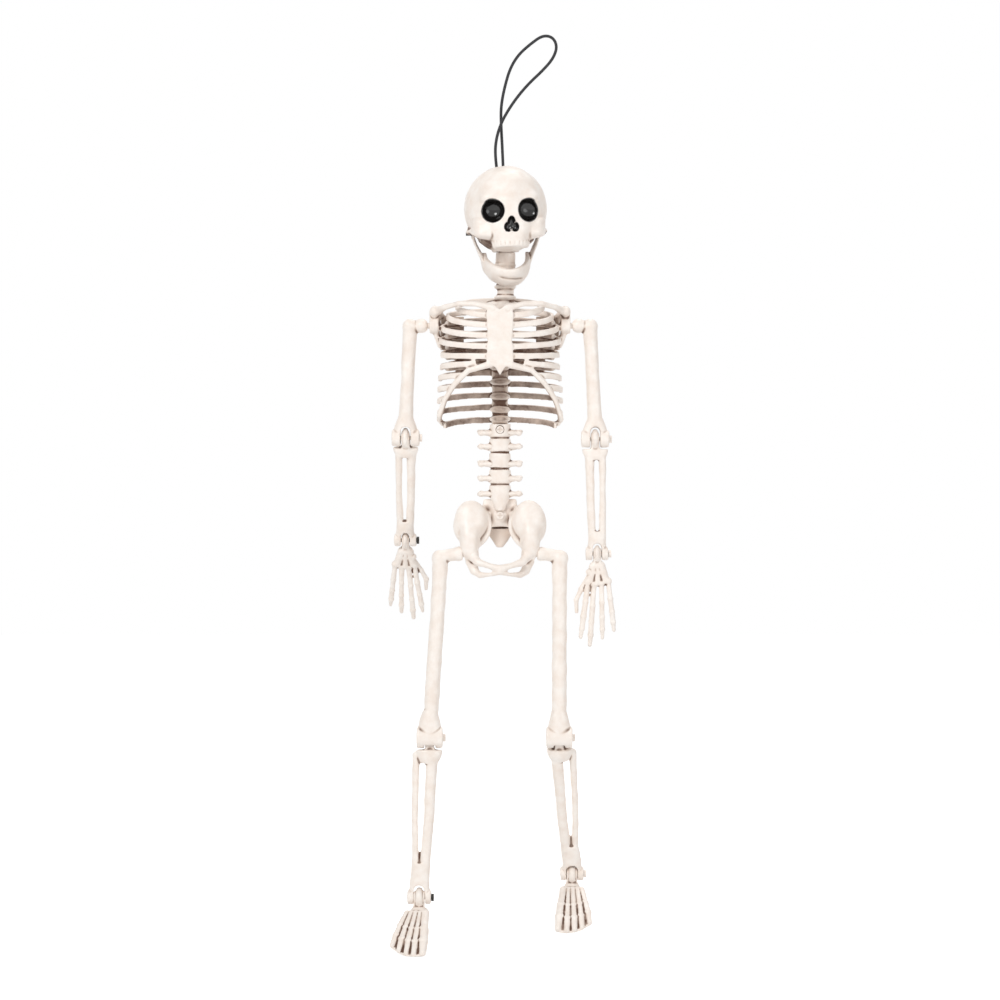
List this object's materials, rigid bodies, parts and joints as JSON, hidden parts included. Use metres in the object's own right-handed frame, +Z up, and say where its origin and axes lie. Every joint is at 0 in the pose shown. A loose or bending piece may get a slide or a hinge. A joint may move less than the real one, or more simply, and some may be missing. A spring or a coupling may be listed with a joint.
{
  "type": "hanging skeleton figure",
  "caption": "Posable hanging skeleton figure in bone-coloured plastic, with an elastic cord loop at the crown, a hinged jaw and pinned limb joints.",
  "frame": {"origin": "crown of the skull, midway between the two cord holes", "axes": "+Z up along the hanging direction, the figure faces -Y, its left-hand side is +X"},
  "size_m": [0.1182, 0.0887, 0.4642],
  "materials": {
    "bone_plastic": "satin moulded plastic, antiqued",
    "screw_steel": "blackened steel",
    "cord_elastic": "black elastic cord"
  },
  "bodies": {
    "head": {"skull_front": "bone_plastic", "skull_back": "bone_plastic", "hanging_cord": "cord_elastic", "cord_knot": "cord_elastic", "jaw_pins": "screw_steel"},
    "jaw": {"mandible": "bone_plastic"},
    "torso": {"rib_cage_front": "bone_plastic", "rib_cage_back": "bone_plastic", "neck_column": "bone_plastic", "lumbar_spine": "bone_plastic", "pelvis": "bone_plastic", "sacrum": "bone_plastic", "torso_screws": "screw_steel", "shoulder_pins": "screw_steel", "hip_pins": "screw_steel"},
    "upper_arm_left": {"humerus_left": "bone_plastic", "elbow_screw_left": "screw_steel"},
    "forearm_left": {"forearm_left": "bone_plastic", "wrist_screw_left": "screw_steel"},
    "hand_left": {"hand_left": "bone_plastic"},
    "thigh_left": {"femur_left": "bone_plastic", "knee_screw_left": "screw_steel"},
    "shin_left": {"shin_left": "bone_plastic", "ankle_screw_left": "screw_steel"},
    "foot_left": {"foot_left": "bone_plastic"},
    "upper_arm_right": {"humerus_right": "bone_plastic", "elbow_screw_right": "screw_steel"},
    "forearm_right": {"forearm_right": "bone_plastic", "wrist_screw_right": "screw_steel"},
    "hand_right": {"hand_right": "bone_plastic"},
    "thigh_right": {"femur_right": "bone_plastic", "knee_screw_right": "screw_steel"},
    "shin_right": {"shin_right": "bone_plastic", "ankle_screw_right": "screw_steel"},
    "foot_right": {"foot_right": "bone_plastic"}
  },
  "joints": [
    {"name": "neck_swivel", "type": "hinge", "parent": "head", "child": "torso", "pos_m": [0.0028, 0.007, -0.0432], "axis": [0, 0, 1], "continuous": true},
    {"name": "jaw_hinge", "type": "hinge", "parent": "head", "child": "jaw", "pos_m": [0.00302, 0.00204, -0.03398], "axis": [0.9918, 0.1219, 0.0381], "range_deg": [-32, 0]},
    {"name": "shoulder_left", "type": "hinge", "parent": "torso", "child": "upper_arm_left", "pos_m": [-0.0382, 0.002, -0.0812], "axis": [1, 0, 0], "continuous": true},
    {"name": "elbow_left", "type": "hinge", "parent": "upper_arm_left", "child": "forearm_left", "pos_m": [-0.0485, 0.01204, -0.13812], "axis": [1, 0, 0], "range_deg": [-110, 10]},
    {"name": "wrist_left", "type": "hinge", "parent": "forearm_left", "child": "hand_left", "pos_m": [-0.0495, 0.03672, -0.19105], "axis": [1, 0, 0], "range_deg": [-75, 75]},
    {"name": "hip_left", "type": "hinge", "parent": "torso", "child": "thigh_left", "pos_m": [-0.0186, 0.002, -0.1975], "axis": [1, 0, 0], "range_deg": [-100, 40]},
    {"name": "knee_left", "type": "hinge", "parent": "thigh_left", "child": "shin_left", "pos_m": [-0.0358, 0.002, -0.2912], "axis": [1, 0, 0], "range_deg": [0, 95]},
    {"name": "ankle_left", "type": "hinge", "parent": "shin_left", "child": "foot_left", "pos_m": [-0.0412, 0.002, -0.3726], "axis": [1, 0, 0], "range_deg": [-35, 25]},
    {"name": "shoulder_right", "type": "hinge", "parent": "torso", "child": "upper_arm_right", "pos_m": [0.0382, 0.002, -0.0812], "axis": [1, 0, 0], "continuous": true},
    {"name": "elbow_right", "type": "hinge", "parent": "upper_arm_right", "child": "forearm_right", "pos_m": [0.0485, 0.002, -0.139], "axis": [1, 0, 0], "range_deg": [-95, 25]},
    {"name": "wrist_right", "type": "hinge", "parent": "forearm_right", "child": "hand_right", "pos_m": [0.0495, 0.002, -0.1974], "axis": [1, 0, 0], "range_deg": [-75, 75]},
    {"name": "hip_right", "type": "hinge", "parent": "torso", "child": "thigh_right", "pos_m": [0.0186, 0.002, -0.1975], "axis": [1, 0, 0], "range_deg": [-100, 40]},
    {"name": "knee_right", "type": "hinge", "parent": "thigh_right", "child": "shin_right", "pos_m": [0.0302, 0.002, -0.2912], "axis": [1, 0, 0], "range_deg": [-24.3, 70.7]},
    {"name": "ankle_right", "type": "hinge", "parent": "shin_right", "child": "foot_right", "pos_m": [0.0376, 0.0355, -0.36539], "axis": [1, 0, 0], "range_deg": [-13, 47]}
  ]
}
